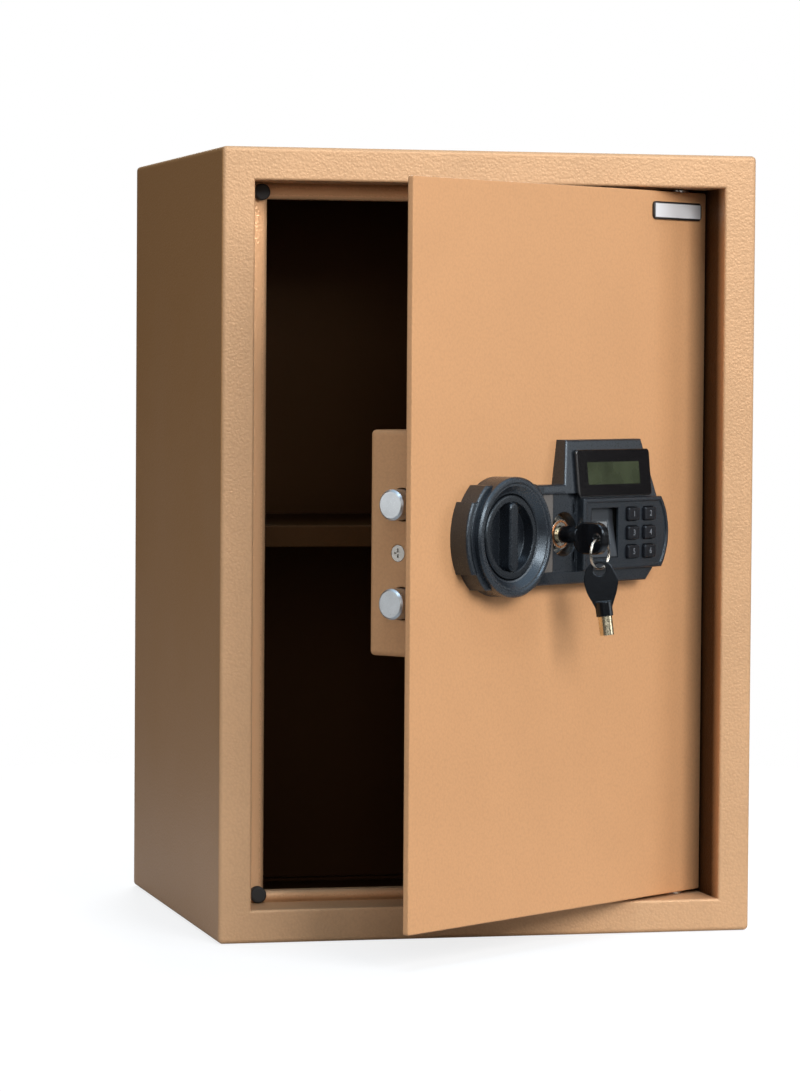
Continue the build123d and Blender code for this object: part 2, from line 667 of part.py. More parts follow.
with BuildPart() as bolt_carriage:
    # plate with slots for the guide studs and the crank pin, and a bent flange
    centre, size = corners((CARRIAGE_X, -22.0), (206.0, CARRIAGE_TOP))
    with BuildSketch(front_plane(CARRIAGE_Y + CARRIAGE_SHEET)):
        with Locations(centre):
            RectangleRounded(*size, 3.0)
        with Locations((CARRIAGE_X + 5, centre[1])):
            Rectangle(10, size[1])
        with Locations(*((x + STROKE / 2, z) for x, z in GUIDES)):
            SlotOverall(STROKE + 7.2, 7.0, mode=Mode.SUBTRACT)
        with Locations((CRANK_AT[0], LOCK_Z + (CRANK_R + CRANK_R / 2 ** 0.5) / 2)):
            SlotOverall(CRANK_R * (1 - 1 / 2 ** 0.5) + 7.6, 7.0, rotation=90, mode=Mode.SUBTRACT)
        with Locations((SOLENOID_X, CARRIAGE_TOP - 2.0), (SOLENOID_X + STROKE, CARRIAGE_TOP - 2.0)):
            Rectangle(8.0, 7.0, mode=Mode.SUBTRACT)
        with Locations((KEY_X - 11.0, KEY_Z)):
            Circle(14.0, mode=Mode.SUBTRACT)
    extrude(amount=CARRIAGE_SHEET)
    block((CARRIAGE_X, CARRIAGE_X + CARRIAGE_SHEET), (CARRIAGE_Y, BOLT_Y + 11.0), (206.0, CARRIAGE_TOP))
    with BuildSketch(side_plane(CARRIAGE_X)):
        with Locations(*((BOLT_Y, z) for z in BOLT_Z)):
            Circle(4.02)
    extrude(amount=CARRIAGE_SHEET, mode=Mode.SUBTRACT)
save(bolt_carriage, "bolt_carriage")


def locking_bolt(z):
    """Round bolt with a chamfered end, riveted through the carriage's flange."""
    with BuildSketch(side_plane(BOLT_END)) as shank:
        with Locations((BOLT_Y, z)):
            Circle(BOLT_R)
    extrude(shank.sketch, amount=CARRIAGE_X - BOLT_END)
    with BuildSketch(side_plane(CARRIAGE_X)) as tail:
        with Locations((BOLT_Y, z)):
            Circle(4.0)
    extrude(tail.sketch, amount=CARRIAGE_SHEET)
    with BuildSketch(side_plane(CARRIAGE_X + CARRIAGE_SHEET)) as rivet_head:
        with Locations((BOLT_Y, z)):
            Circle(6.0)
    extrude(rivet_head.sketch, amount=2.5, taper=20)


with BuildPart() as locking_bolt_upper:
    locking_bolt(BOLT_Z[1])
    chamfer(locking_bolt_upper.edges().group_by(Axis.X)[0], 1.3)
save(locking_bolt_upper, "locking_bolt_upper")

with BuildPart() as locking_bolt_lower:
    locking_bolt(BOLT_Z[0])
    chamfer(locking_bolt_lower.edges().group_by(Axis.X)[0], 1.3)
save(locking_bolt_lower, "locking_bolt_lower")

with BuildPart() as guide_studs:
    # shouldered studs welded to the door; their heads hold the carriage
    for radius, start, end in ((4.8, 0.0, 11.0), (3.0, 11.0, 15.0), (5.6, 15.0, 17.0)):
        with BuildSketch(front_plane(behind(start))):
            with Locations(*GUIDES):
                Circle(radius)
        extrude(amount=-(end - start))
save(guide_studs, "guide_studs")

# ---- solenoid that blocks the carriage ----------------------------------------------
SOLENOID_Y = CARRIAGE_Y + CARRIAGE_SHEET / 2
SOLENOID_Z = (306.0, 322.0)

with BuildPart() as solenoid_body:
    centre, size = corners((SOLENOID_X - 11, SOLENOID_X + 11), (SOLENOID_Y - 8, SOLENOID_Y + 8))
    with BuildSketch(Plane.XY.offset(SOLENOID_Z[0])):
        with Locations(centre):
            RectangleRounded(*size, 2.0)
        with Locations((SOLENOID_X, SOLENOID_Y)):
            Circle(3.6, mode=Mode.SUBTRACT)
    extrude(amount=SOLENOID_Z[1] - SOLENOID_Z[0])
save(solenoid_body, "solenoid_body")

with BuildPart() as solenoid_bracket:
    block((SOLENOID_X - 18, SOLENOID_X + 18), (DOOR_BACK_Y, DOOR_BACK_Y + 1.5), (304.0, 323.0))
    for side in (-1, 1):
        low_x, high_x = sorted((SOLENOID_X + side * 11.0, SOLENOID_X + side * 12.5))
        block((low_x, high_x), (DOOR_BACK_Y, SOLENOID_Y + 4), (307.0, 321.0))
save(solenoid_bracket, "solenoid_bracket")

with BuildPart() as solenoid_plunger:
    with BuildSketch(Plane.XY.offset(CARRIAGE_TOP + 1.5)):
        with Locations((SOLENOID_X, SOLENOID_Y)):
            Circle(3.5)
    extrude(amount=20.0)
    with BuildSketch(Plane.XY.offset(CARRIAGE_TOP + 7.0)):
        with Locations((SOLENOID_X, SOLENOID_Y)):
            Circle(5.6)
    extrude(amount=1.2)
    chamfer(solenoid_plunger.edges().group_by(Axis.Z)[0], 0.7)
save(solenoid_plunger, "solenoid_plunger")

with BuildPart() as plunger_spring:
    spring_low = CARRIAGE_TOP + 8.7
    with BuildLine():
        Helix(pitch=1.0, height=2.4, radius=4.5, center=(SOLENOID_X, SOLENOID_Y, spring_low))
    with BuildSketch(Plane(origin=(SOLENOID_X + 4.5, SOLENOID_Y, spring_low), x_dir=(1, 0, 0),
                           z_dir=(0, 1, 0))):
        Circle(0.3)
    sweep(is_frenet=True)
save(plunger_spring, "plunger_spring")

# ---- key lock -----------------------------------------------------------------------
PLUG_R = 6.0
CAM_Y = (-99.5, -97.0)

with BuildPart() as lock_cylinder:
    # barrel through the door with a flange on its face
    for radius, start, end in ((9.3, proud(6.0), CAM_Y[0] - 0.5), (12.0, proud(2.0), DOOR_FACE_Y)):
        with BuildSketch(front_plane(start)):
            with Locations((KEY_X, KEY_Z)):
                Circle(radius)
        extrude(amount=-(end - start))
    with BuildSketch(front_plane(proud(7.0))):
        with Locations((KEY_X, KEY_Z)):
            Circle(PLUG_R + RUN)
    extrude(amount=-40.0, mode=Mode.SUBTRACT)
    with BuildSketch(front_plane(proud(6.0))):
        with Locations((KEY_X, KEY_Z)):
            Circle(8.6)
            Circle(7.4, mode=Mode.SUBTRACT)
    extrude(amount=-1.0, mode=Mode.SUBTRACT)
save(lock_cylinder, "lock_cylinder")

with BuildPart() as cylinder_ring:
    with BuildSketch(front_plane(proud(5.0))):
        with Locations((KEY_X, KEY_Z)):
            Circle(8.55)
            Circle(7.45, mode=Mode.SUBTRACT)
    extrude(amount=1.4)
save(cylinder_ring, "cylinder_ring")

with BuildPart() as cylinder_nut:
    with BuildSketch(front_plane(DOOR_BACK_Y)):
        with Locations((KEY_X, KEY_Z)):
            RegularPolygon(14.0, 6)
            Circle(9.35, mode=Mode.SUBTRACT)
    extrude(amount=-5.0)
save(cylinder_nut, "cylinder_nut")

with BuildPart() as lock_plug:
    with BuildSketch(front_plane(proud(5.8))):
        with Locations((KEY_X, KEY_Z)):
            Circle(PLUG_R)
    extrude(amount=-(CAM_Y[0] - proud(5.8)))
    # tubular keyway: a ring-shaped well with a notch
    with BuildSketch(front_plane(proud(5.8))):
        with Locations((KEY_X, KEY_Z)):
            Circle(4.5)
            Circle(3.4, mode=Mode.SUBTRACT)
            with Locations((0, 4.7)):
                Rectangle(1.6, 1.4)
    extrude(amount=-13.0, mode=Mode.SUBTRACT)
save(lock_plug, "lock_plug")

with BuildPart() as lock_cam:
    with BuildSketch(front_plane(CAM_Y[0])):
        with Locations((KEY_X, KEY_Z)):
            Circle(7.5)
            with Locations((0, 12.0)):
                Circle(4.0)
        make_hull()
        with Locations((KEY_X, KEY_Z)):
            Circle(2.05, mode=Mode.SUBTRACT)
    extrude(amount=-(CAM_Y[1] - CAM_Y[0]))
save(lock_cam, "lock_cam")

with BuildPart() as cam_screw:
    with BuildSketch(front_plane(CAM_Y[0])):
        with Locations((KEY_X, KEY_Z)):
            Circle(2.0)
    extrude(amount=-(CAM_Y[1] - CAM_Y[0]))
    with BuildSketch(front_plane(CAM_Y[1])):
        with Locations((KEY_X, KEY_Z)):
            Circle(4.5)
    extrude(amount=-2.6)
    with BuildSketch(front_plane(CAM_Y[1] + 2.6)):
        with Locations((KEY_X, KEY_Z)):
            Rectangle(5.0, 1.0)
            Rectangle(1.0, 5.0)
    extrude(amount=1.4, mode=Mode.SUBTRACT)
save(cam_screw, "cam_screw")

# ---- keys and their ring ------------------------------------------------------------
TUBE_R = 4.4
TUBE_BORE = 3.5
NECK_R = 5.3
BOW = (18.0, 41.0)                # heights of the inserted key's bow
BOW_Z = KEY_Z - 1.8
RING_H = 36.2                     # height of the hole for the ring
KEY_HOLE_R = 2.7
KEY_HOLE_Z = KEY_Z - 1.0
WIRE_R = 0.9
SPLIT_R = 9.4
WIRE_Z = KEY_HOLE_Z - 0.5         # the ring's wire inside the hole
RING_Z = WIRE_Z - SPLIT_R
RING_LOW_Z = RING_Z - SPLIT_R

with BuildPart() as key_tube:
    with BuildSketch(front_plane(proud(-6.5))):
        with Locations((KEY_X, KEY_Z)):
            Circle(TUBE_R)
            Circle(TUBE_BORE, mode=Mode.SUBTRACT)
    extrude(amount=24.0)
save(key_tube, "key_tube")

with BuildPart() as key_head:
    # flat bow with a round neck over the tube
    with BuildSketch(side_plane(KEY_X - 3.4)):
        with Locations((proud((BOW[0] + BOW[1]) / 2), BOW_Z)):
            RectangleRounded(BOW[1] - BOW[0], 20.0, 7.5)
    extrude(amount=6.8)
    fillet(key_head.edges().filter_by(lambda edge: abs(abs(edge.center().X - KEY_X) - 3.4) < 0.1), 1.4)
    with BuildSketch(front_plane(proud(8.0))):
        with Locations((KEY_X, KEY_Z)):
            Circle(NECK_R)
    extrude(amount=13.0)
    with BuildSketch(front_plane(proud(8.0))):
        with Locations((KEY_X, KEY_Z)):
            Circle(TUBE_R + 0.03)
    extrude(amount=9.6, mode=Mode.SUBTRACT)
    with BuildSketch(side_plane(KEY_X - 5)):
        with Locations((proud(RING_H), KEY_HOLE_Z)):
            Circle(KEY_HOLE_R)
    extrude(amount=10, mode=Mode.SUBTRACT)
save(key_head, "key_head")

with BuildPart() as split_ring:
    with BuildSketch(Plane(origin=(KEY_X, proud(RING_H), RING_Z), x_dir=(1, 0, 0), z_dir=(0, 0, 1))):
        with Locations((SPLIT_R, 0)):
            Circle(WIRE_R)
    revolve(axis=Axis((KEY_X, proud(RING_H), RING_Z), (0, 1, 0)))
save(split_ring, "split_ring")

# the spare key hangs from the lowest point of the ring, turned to the side and a little askew
SPARE_HOLE_Z = RING_LOW_Z - 0.5
SPARE_TURN = 54.0
SPARE_LEAN = 7.0
SPARE_THICK = 5.0
SPARE_NECK = 29.0
SPARE_TUBE = 11.8
SPARE_FACE = Vector(0, -1, 0).rotate(Axis.Z, -SPARE_TURN)
SPARE = Plane(
    origin=(KEY_X, proud(RING_H), SPARE_HOLE_Z),
    x_dir=Vector(1, 0, 0).rotate(Axis.Z, -SPARE_TURN).rotate(Axis((0, 0, 0), SPARE_FACE), SPARE_LEAN),
    z_dir=SPARE_FACE,
)


def spare_section(depth):
    """Plane across the spare key's tube, this far below the hole, facing the bow."""
    return Plane(origin=SPARE.from_local_coords((0, -depth, 0)), x_dir=SPARE.x_dir, z_dir=SPARE.y_dir)


with BuildPart() as spare_key_head:
    with BuildSketch(SPARE.offset(-SPARE_THICK / 2)):
        with BuildLine():
            Polyline((-4.9, -SPARE_NECK), (-5.2, -23.5), (-8.9, -15.0))
            Spline((-8.9, -15.0), (-10.4, -6.5), (-6.5, 3.0), (0.0, 5.7), (6.5, 3.0), (10.4, -6.5),
                   (8.9, -15.0), tangents=((-0.3, 1.0), (-0.3, -1.0)))
            Polyline((8.9, -15.0), (5.2, -23.5), (4.9, -SPARE_NECK), (-4.9, -SPARE_NECK))
        make_face()
        Circle(3.9, mode=Mode.SUBTRACT)
    extrude(amount=SPARE_THICK)
    with BuildSketch(spare_section(SPARE_NECK)):
        Circle(NECK_R)
    extrude(amount=9.0)
    with BuildSketch(spare_section(SPARE_NECK)):
        Circle(TUBE_R + 0.03)
    extrude(amount=8.0, mode=Mode.SUBTRACT)
save(spare_key_head, "spare_key_head")

with BuildPart() as spare_key_tube:
    with BuildSketch(spare_section(SPARE_NECK + SPARE_TUBE)):
        Circle(TUBE_R)
        Circle(TUBE_BORE, mode=Mode.SUBTRACT)
    extrude(amount=SPARE_TUBE + 7.9)
save(spare_key_tube, "spare_key_tube")

# ====================================================================================
# Lock box and electronics behind the door
# ====================================================================================

LID_X = (12.0, 68.0)
LID_Z = (192.0, 242.0)
SCREW_Z = 250.4
SCREW_Y = -93.0

with BuildPart() as lock_box:
    centre, size = corners(BOX_X, BOX_Z)
    with BuildSketch(front_plane(BOX_BACK_Y)):
        with Locations(centre):
            RectangleRounded(*size, 3.0)
    extrude(amount=BOX_BACK_Y - DOOR_BACK_Y)
    fillet(lock_box.faces().sort_by(Axis.Y)[-1].edges(), 2.5)
    with BuildSketch(front_plane(BOX_BACK_Y - BOX_SHEET)):
        with Locations(centre):
            RectangleRounded(size[0] - 2 * BOX_SHEET, size[1] - 2 * BOX_SHEET, 1.5)
    extrude(amount=BOX_BACK_Y - DOOR_BACK_Y, mode=Mode.SUBTRACT)
    # bolt holes and screw seats in the side walls
    with BuildSketch(side_plane(BOX_X[0] - 1)):
        with Locations(*((BOLT_Y, z) for z in BOLT_Z)):
            Circle(BOLT_R + 0.8)
    extrude(amount=4.0, mode=Mode.SUBTRACT)
    with BuildSketch(side_plane(BOX_X[0] - 1)):
        with Locations((SCREW_Y, SCREW_Z)):
            Circle(5.2)
    extrude(amount=BOX_X[1] - BOX_X[0] + 2, mode=Mode.SUBTRACT)
    # opening of the battery cover
    lid_centre, lid_size = corners(LID_X, LID_Z)
    with BuildSketch(front_plane(BOX_BACK_Y)):
        with Locations(lid_centre):
            Rectangle(lid_size[0] + 0.8, lid_size[1] + 0.8)
    extrude(amount=5.0, mode=Mode.SUBTRACT)
save(lock_box, "lock_box")


def cover_bracket(side, wall):
    """Angle welded to the door that the lock box is screwed to."""
    inner = wall - side * BOX_SHEET
    low_x, high_x = sorted((inner, inner - side * 2.0))
    block((low_x, high_x), (DOOR_BACK_Y, SCREW_Y + 7), (SCREW_Z - 9, SCREW_Z + 9))
    low_x, high_x = sorted((inner, inner - side * 11.0))
    block((low_x, high_x), (DOOR_BACK_Y, DOOR_BACK_Y + 2), (SCREW_Z - 9, SCREW_Z + 9))


with BuildPart() as cover_brackets:
    cover_bracket(-1, BOX_X[0])
    cover_bracket(1, BOX_X[1])
    with BuildSketch(side_plane(BOX_X[0])):
        with Locations((SCREW_Y, SCREW_Z)):
            Circle(2.05)
    extrude(amount=BOX_X[1] - BOX_X[0], mode=Mode.SUBTRACT)
save(cover_brackets, "cover_brackets")

with BuildPart() as cover_screws:
    # countersunk cross-head screws, one in each side wall
    for side, wall in ((-1, BOX_X[0]), (1, BOX_X[1])):
        outward = Plane(origin=(wall, SCREW_Y, SCREW_Z), x_dir=(0, 1, 0), z_dir=(side, 0, 0))
        with BuildSketch(outward):
            Circle(5.0)
        extrude(amount=-BOX_SHEET)
        with BuildSketch(outward.offset(-BOX_SHEET)):
            Circle(2.0)
        extrude(amount=-6.0)
        with BuildSketch(outward):
            Rectangle(5.6, 1.1)
            Rectangle(1.1, 5.6)
        extrude(amount=-1.1, mode=Mode.SUBTRACT)
save(cover_screws, "cover_screws")

TRAY_X = (9.5, 70.3)
TRAY_Z = (190.5, 246.5)
TRAY_Y = (-90.5, BOX_BACK_Y - BOX_SHEET)
CELL_R = 7.1

with BuildPart() as battery_tray:
    block(TRAY_X, TRAY_Y, TRAY_Z)
    centre, size = corners((TRAY_X[0] + 1.2, TRAY_X[1] - 1.2), (TRAY_Z[0] + 1.2, TRAY_Z[1] - 1.2))
    with BuildSketch(front_plane(TRAY_Y[1] + 1)):
        with Locations(centre):
            Rectangle(*size)
    extrude(amount=TRAY_Y[1] + 1 - TRAY_Y[0] - 1.4, mode=Mode.SUBTRACT)
save(battery_tray, "battery_tray")

CELL_PLACES = tuple((TRAY_X[0] + 8.6 + 14.6 * i, -81.6) for i in range(4))

with BuildPart() as batteries:
    with BuildSketch(Plane.XY.offset(193.2)):
        with Locations(*CELL_PLACES):
            Circle(CELL_R)
    extrude(amount=49.0)
    fillet(batteries.edges().group_by(Axis.Z)[-1], 0.8)
    with BuildSketch(Plane.XY.offset(242.2)):
        with Locations(*CELL_PLACES):
            Circle(2.6)
    extrude(amount=1.4)
save(batteries, "batteries")

with BuildPart() as battery_contacts:
    for low in (TRAY_Z[0] + 1.2, TRAY_Z[1] - 1.8):
        for x, y in CELL_PLACES:
            block((x - 5, x + 5), (y - 6, y + 6), (low, low + 0.6))
save(battery_contacts, "battery_contacts")

with BuildPart() as battery_cover:
    with BuildSketch(front_plane(BOX_BACK_Y + 0.8)):
        with Locations(lid_centre):
            RectangleRounded(*lid_size, 1.5)
    extrude(amount=2.2)
    # ribbed finger grip
    with BuildSketch(front_plane(BOX_BACK_Y + 1.6)):
        for row in range(5):
            with Locations((lid_centre[0], LID_Z[1] - 6 - 2.4 * row)):
                SlotOverall(18, 1.2)
    extrude(amount=0.9)
save(battery_cover, "battery_cover")

BOARD_X = (24.0, 68.0)
BOARD_Z = (262.5, 318.5)
BOARD_Y = (-116.0, -114.4)

with BuildPart() as control_board:
    block(BOARD_X, BOARD_Y, BOARD_Z)
    with BuildSketch(front_plane(BOARD_Y[0] - 1)):
        with Locations(corners(BOARD_X, BOARD_Z)[0]):
            with GridLocations(38, 49.5, 2, 2):
                Circle(1.6)
    extrude(amount=-5, mode=Mode.SUBTRACT)
    # processor, relay, connectors and a row of capacitors
    block((38, 50), (BOARD_Y[1], BOARD_Y[1] + 1.8), (276, 288))
    block((52, 64), (BOARD_Y[1], BOARD_Y[1] + 9.0), (294, 309))
    block((29, 45), (BOARD_Y[1], BOARD_Y[1] + 6.0), (305, 311))
    with BuildSketch(front_plane(BOARD_Y[1])):
        with Locations((30, 296), (38, 296), (46, 296)):
            Circle(2.8)
    extrude(amount=-7.0)
save(control_board, "control_board")

with BuildPart() as board_standoffs:
    with BuildSketch(front_plane(DOOR_BACK_Y)):
        with Locations(corners(BOARD_X, BOARD_Z)[0]):
            with GridLocations(38, 49.5, 2, 2):
                RegularPolygon(3.0, 6)
    extrude(amount=-(BOARD_Y[0] - DOOR_BACK_Y))
save(board_standoffs, "board_standoffs")

with BuildPart() as cable_grommet:
    for radius, start, end in ((5.95, DOOR_FACE_Y, DOOR_BACK_Y), (7.6, DOOR_BACK_Y, DOOR_BACK_Y + 1.6)):
        with BuildSketch(front_plane(start)):
            with Locations(GROMMET_AT):
                Circle(radius)
                Circle(4.0, mode=Mode.SUBTRACT)
        extrude(amount=-(end - start))
save(cable_grommet, "cable_grommet")


def lead(points, radius=0.8):
    """Insulated wire along a smooth path through the points."""
    with BuildLine() as path:
        Spline(*points)
    with BuildSketch(Plane(origin=path.line @ 0, z_dir=path.line % 0)) as section:
        Circle(radius)
    sweep(section.sketch, path=path.line)


with BuildPart() as wiring:
    # four conductors from the keypad through the grommet
    with BuildSketch(front_plane(proud(2.6))):
        with Locations(GROMMET_AT):
            with PolarLocations(1.6, 4):
                Circle(0.9)
    extrude(amount=-(BOARD_Y[0] - proud(2.6)))
    # a pair to the solenoid and a pair to the batteries
    for step in (0.0, 2.6):
        lead(((SOLENOID_X + 11.3, -101.2, 318.0 - step), (-30.0, -100.0, 319.0 - step),
              (10.0, -98.0, 316.0 - step), (33.0 + step, -101.0, 312.0 - step / 2),
              (34.0 + step, -107.6, 308.5 - step / 2)))
        lead(((52.0 + step, -88.0, 246.9), (53.0 + step, -90.0, 256.0), (54.0 + step, -100.0, 266.0),
              (54.0 + step, -113.8, 270.0)))
save(wiring, "wiring")
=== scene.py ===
import json
import math

import bmesh
import bpy
from mathutils import Matrix, Vector


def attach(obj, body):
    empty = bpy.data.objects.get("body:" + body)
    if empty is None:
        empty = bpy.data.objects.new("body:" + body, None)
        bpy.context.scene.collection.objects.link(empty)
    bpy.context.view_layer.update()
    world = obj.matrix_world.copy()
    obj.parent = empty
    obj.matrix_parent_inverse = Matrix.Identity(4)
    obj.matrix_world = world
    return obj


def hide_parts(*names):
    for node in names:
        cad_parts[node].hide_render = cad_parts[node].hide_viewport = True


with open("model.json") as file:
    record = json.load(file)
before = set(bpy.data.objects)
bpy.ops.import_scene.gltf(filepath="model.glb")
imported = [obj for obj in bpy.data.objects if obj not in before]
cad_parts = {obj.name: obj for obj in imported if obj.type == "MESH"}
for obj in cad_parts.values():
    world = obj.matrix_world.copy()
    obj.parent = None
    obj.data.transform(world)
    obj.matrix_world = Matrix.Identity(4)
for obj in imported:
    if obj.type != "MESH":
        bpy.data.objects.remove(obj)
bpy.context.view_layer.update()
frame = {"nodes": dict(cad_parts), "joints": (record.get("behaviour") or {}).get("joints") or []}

# ---- places on the door -------------------------------------------------------------
# Door pieces are laid out as if the door were shut: X right, Z up, and a height in front
# of the door's face. The record's hinge and its range swing them to the rest pose.
swing = next(joint for joint in frame["joints"] if joint["name"] == "door_swing")
HINGE = Vector(swing["pos_m"])
DOOR_ANGLE = math.radians(-swing["range_deg"][0])
AXIS_BEHIND_FACE = 0.008
FACE_Y = HINGE.y - AXIS_BEHIND_FACE
TO_REST = Matrix.Translation(HINGE) @ Matrix.Rotation(DOOR_ANGLE, 4, "Z") @ Matrix.Translation(-HINGE)

BUTTON_X = (0.0544, 0.0722)
BUTTON_Z = (0.2713, 0.2594, 0.2475)
BUTTON_TOP = 0.0154
NUMERAL_SIZE = 0.0052
NUMERAL_DEPTH = 0.00006
NUMERAL_LIFT = 0.00004
RING_CENTRE = (-0.011, 0.0362, 0.2491)
RING_RADIUS = 0.0094
RING_WIRE = 0.00046
RING_TURNS = 1.96
RING_STEPS = 180
WINDOW_X = (0.0085, 0.0635)
WINDOW_Z = (0.2905, 0.3045)


def door_point(x, height, z):
    """A point in front of the shut door, in the row frame at rest."""
    return TO_REST @ Vector((x, FACE_Y - height, z))


# ====================================================================================
# Materials
# ====================================================================================

class Look:
    """A Principled material and the few node recipes the surfaces share."""

    def __init__(self, name, on_door=False):
        self.material = bpy.data.materials.new(name)
        self.material.use_nodes = True
        self.tree = self.material.node_tree
        self.shader = self.tree.nodes["Principled BSDF"]
        self.place = self.tree.nodes.new("ShaderNodeTexCoord").outputs["Object"]
        if on_door:
            turn = self.node("ShaderNodeVectorRotate", rotation_type="Z_AXIS")
            turn.inputs["Center"].default_value = HINGE
            turn.inputs["Angle"].default_value = -DOOR_ANGLE
            self.link(self.place, turn.inputs["Vector"])
            self.place = turn.outputs[0]
        self.normal = None

    def node(self, kind, **settings):
        made = self.tree.nodes.new(kind)
        for key, value in settings.items():
            setattr(made, key, value)
        return made

    def link(self, source, target):
        self.tree.links.new(source, target)

    def noise(self, size, detail=3.0, stretch=(1, 1, 1)):
        """Noise whose features are about this many metres across."""
        scaled = self.node("ShaderNodeVectorMath", operation="MULTIPLY")
        self.link(self.place, scaled.inputs[0])
        scaled.inputs[1].default_value = stretch
        made = self.node("ShaderNodeTexNoise")
        made.inputs["Scale"].default_value = 1.0 / size
        made.inputs["Detail"].default_value = detail
        self.link(scaled.outputs[0], made.inputs["Vector"])
        return made.outputs["Fac"]

    def cells(self, size, feature="SMOOTH_F1"):
        """Rounded cells about this many metres across."""
        made = self.node("ShaderNodeTexVoronoi", feature=feature)
        made.inputs["Scale"].default_value = 1.0 / size
        self.link(self.place, made.inputs["Vector"])
        return made.outputs["Distance"]

    def spread(self, value, low, high, to_low=0.0, to_high=1.0):
        """The value's band from low to high, stretched to another band and clamped."""
        made = self.node("ShaderNodeMapRange")
        for key, number in zip(("From Min", "From Max", "To Min", "To Max"), (low, high, to_low, to_high)):
            made.inputs[key].default_value = number
        self.link(value, made.inputs["Value"])
        return made.outputs["Result"]

    def maths(self, operation, first, second):
        made = self.node("ShaderNodeMath", operation=operation)
        for slot, value in zip(made.inputs, (first, second)):
            if isinstance(value, (int, float)):
                slot.default_value = value
            else:
                self.link(value, slot)
        return made.outputs[0]

    def blend(self, share, first, second):
        """Colour between two colours; each may be a triple or another node's output."""
        made = self.node("ShaderNodeMix", data_type="RGBA")
        if isinstance(share, (int, float)):
            made.inputs["Factor"].default_value = share
        else:
            self.link(share, made.inputs["Factor"])
        for key, value in ((6, first), (7, second)):
            if isinstance(value, tuple):
                made.inputs[key].default_value = (*value, 1.0)
            else:
                self.link(value, made.inputs[key])
        return made.outputs[2]

    def axes(self):
        """The place's three coordinates."""
        made = self.node("ShaderNodeSeparateXYZ")
        self.link(self.place, made.inputs[0])
        return made.outputs

    def band(self, value, low, high, soft=0.0002):
        """1 where the value lies between low and high, 0 outside."""
        rising = self.spread(value, low - soft, low + soft)
        falling = self.spread(value, high - soft, high + soft, 1.0, 0.0)
        return self.maths("MULTIPLY", rising, falling)

    def edges(self, radius):
        """1 near sharp edges, 0 on flat faces."""
        rounded = self.node("ShaderNodeBevel", samples=4)
        rounded.inputs["Radius"].default_value = radius
        plain = self.node("ShaderNodeNewGeometry")
        dot = self.node("ShaderNodeVectorMath", operation="DOT_PRODUCT")
        self.link(rounded.outputs[0], dot.inputs[0])
        self.link(plain.outputs["Normal"], dot.inputs[1])
        return self.spread(dot.outputs["Value"], 0.99, 0.80)

    def soften(self, radius):
        """Rounded look of sharp edges, before any bump."""
        rounded = self.node("ShaderNodeBevel", samples=4)
        rounded.inputs["Radius"].default_value = radius
        self.normal = rounded.outputs[0]
        self.link(self.normal, self.shader.inputs["Normal"])

    def bump(self, height, distance, strength=1.0):
        made = self.node("ShaderNodeBump")
        made.inputs["Distance"].default_value = distance
        made.inputs["Strength"].default_value = strength
        self.link(height, made.inputs["Height"])
        if self.normal is not None:
            self.link(self.normal, made.inputs["Normal"])
        self.normal = made.outputs[0]
        self.link(self.normal, self.shader.inputs["Normal"])

    def colour(self, value):
        if isinstance(value, tuple):
            self.shader.inputs["Base Color"].default_value = (*value, 1.0)
        else:
            self.link(value, self.shader.inputs["Base Color"])

    def set(self, **values):
        """Shader inputs by name, spaces written as underscores; a value or an output."""
        for key, value in values.items():
            slot = self.shader.inputs[key.replace("_", " ")]
            if isinstance(value, bpy.types.NodeSocket):
                self.link(value, slot)
            else:
                slot.default_value = value


def shade(colour, factor):
    """The colour made darker or lighter by a factor."""
    return tuple(channel * factor for channel in colour)


FRAME_PAINT = (0.570, 0.334, 0.178)
# painted light on the left outer side: lighter paint low down for a painted reflection, deeper browner
# paint high up for painted shade
SIDE_LOW_PAINTED_REFLECTION = (0.560, 0.318, 0.170)
SIDE_HIGH_PAINTED_SHADE = (0.500, 0.250, 0.098)
DOOR_PAINT = (0.625, 0.328, 0.156)
# painted shade: near-black brown for the shaded inside of the cabinet and the hinge pocket
INNER_PAINTED_SHADE = (0.060, 0.026, 0.009)
WARM_GLOSS = (1.0, 0.82, 0.62, 1.0)
COOL_GLOSS = (0.74, 0.88, 1.0, 1.0)

# bounds, in metres, of the regions of the cabinet and the door that are painted differently
# where painted shade darkens the inside of the cabinet's walls
INNER_SHADE_X = (-0.1740, 0.1740)
INNER_SHADE_Y = (-0.1075, 0.1488)
INNER_SHADE_Z = (0.0010, 0.4990)
# where painted shade darkens the hinge pocket beside the door
POCKET_X = (0.1530, 0.1740)
POCKET_Z = (0.0205, 0.4795)
POCKET_FRONT = (-0.1490, -0.1350)
POCKET_BACK = (0.1493, 0.1488)
TOP_FACE_Z = (0.4992, 0.4998)
LEFT_FACE_X = (-0.1738, -0.1746)
TOP_LIP_Z = (0.4687, 0.4790)
FOOT_LIP_Z = (0.0210, 0.0286)
LEFT_LIP_X = (-0.1540, -0.1390)
LIPS_X = (-0.1542, 0.1180)
LIPS_Y = (-0.1146, -0.1120)
LIPS_Z = (0.0208, 0.4792)
LIP_ROUNDNESS = 0.45
LIP_CREST = (0.0008, 0.0022)
KEY_STRIP_X = (-0.0340, -0.0240)
KEY_STRIP_Z = (0.2370, 0.2850)
KEY_STRIP_HEIGHT = (0.0080, 0.0105)
PLATE_FACE_X = (0.0935, 0.1435)
PLATE_FACE_Z = (0.4602, 0.4690)
SLEEVE_BAND_Z = (0.2300, 0.2425)
CELL_CAP_Z = (0.2418, 0.2450)


